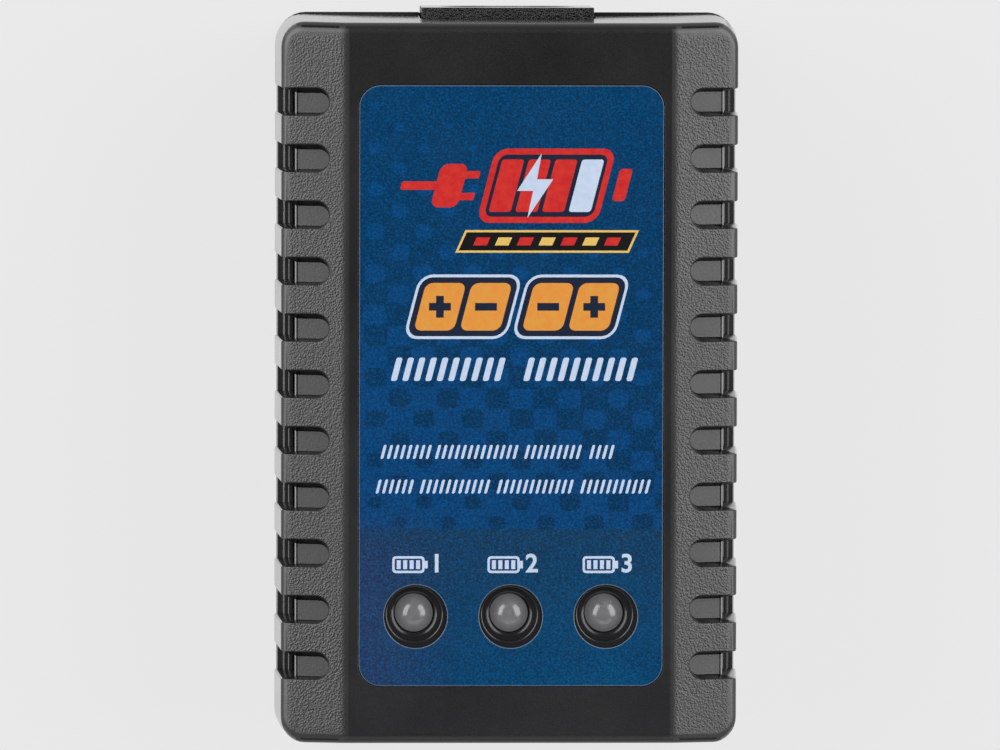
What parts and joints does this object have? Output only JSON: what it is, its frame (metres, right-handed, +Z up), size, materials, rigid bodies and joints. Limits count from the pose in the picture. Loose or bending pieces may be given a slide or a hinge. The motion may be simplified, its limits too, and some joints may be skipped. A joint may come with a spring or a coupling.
{
  "type": "balance battery charger",
  "caption": "Compact mains balance charger: ribbed black two-part case with a blue face sticker, recessed indicators, figure-8 mains inlet and balance sockets.",
  "frame": {"origin": "on the surface that the base rests on, under the middle of the whole object's box", "axes": "+Z up, out of the stickered face; +Y towards the mains inlet; +X to the right, seen from above with the inlet at the far end"},
  "size_m": [0.058, 0.0922, 0.034],
  "materials": {
    "case_black": "fine spark-textured moulded ABS",
    "label_blue": "printed polyester sticker",
    "label_silver": "satin printed polyester sticker",
    "inlet_black": "rough moulded thermoplastic",
    "socket_white": "satin moulded nylon",
    "milky_lens": "polished diffused epoxy",
    "plating": "tinned, smooth",
    "screw_steel": "blackened zinc",
    "board_green": "solder mask over glass fibre board",
    "chip_black": "moulded epoxy",
    "sleeve_blue": "shrink sleeve over an aluminium can",
    "disc_blue": "dipped epoxy",
    "fuse_brown": "moulded thermoplastic",
    "ferrite": "ground ferrite",
    "tape_yellow": "polyester winding tape",
    "copper_wire": "enamelled copper"
  },
  "bodies": {
    "root": {"top_shell": "case_black", "bottom_shell": "case_black", "face_label": "label_blue", "rating_label": "label_silver", "case_screw_1": "screw_steel", "case_screw_2": "screw_steel", "case_screw_3": "screw_steel", "case_screw_4": "screw_steel", "main_board": "board_green", "ac_inlet": "inlet_black", "inlet_pin_left": "plating", "inlet_pin_right": "plating", "socket_2s": "socket_white", "socket_3s": "socket_white", "socket_2s_pin_1": "plating", "socket_2s_pin_2": "plating", "socket_2s_pin_3": "plating", "socket_3s_pin_1": "plating", "socket_3s_pin_2": "plating", "socket_3s_pin_3": "plating", "socket_3s_pin_4": "plating", "led_1": "milky_lens", "led_1_leg_1": "plating", "led_1_leg_2": "plating", "led_1_leg_3": "plating", "led_2": "milky_lens", "led_2_leg_1": "plating", "led_2_leg_2": "plating", "led_2_leg_3": "plating", "led_3": "milky_lens", "led_3_leg_1": "plating", "led_3_leg_2": "plating", "led_3_leg_3": "plating", "fuse": "fuse_brown", "filter_choke": "copper_wire", "rectifier_diode_1": "chip_black", "rectifier_diode_2": "chip_black", "rectifier_diode_3": "chip_black", "rectifier_diode_4": "chip_black", "bulk_capacitor_1": "sleeve_blue", "bulk_capacitor_2": "sleeve_blue", "controller_chip": "chip_black", "optocoupler": "chip_black", "y_capacitor": "disc_blue", "transformer_core": "ferrite", "transformer_bobbin": "chip_black", "transformer_winding": "tape_yellow", "output_diode_1": "chip_black", "output_capacitor_1": "sleeve_blue", "charge_chip_1": "chip_black", "output_diode_2": "chip_black", "output_capacitor_2": "sleeve_blue", "charge_chip_2": "chip_black", "output_diode_3": "chip_black", "output_capacitor_3": "sleeve_blue", "charge_chip_3": "chip_black"}
  },
  "joints": []
}
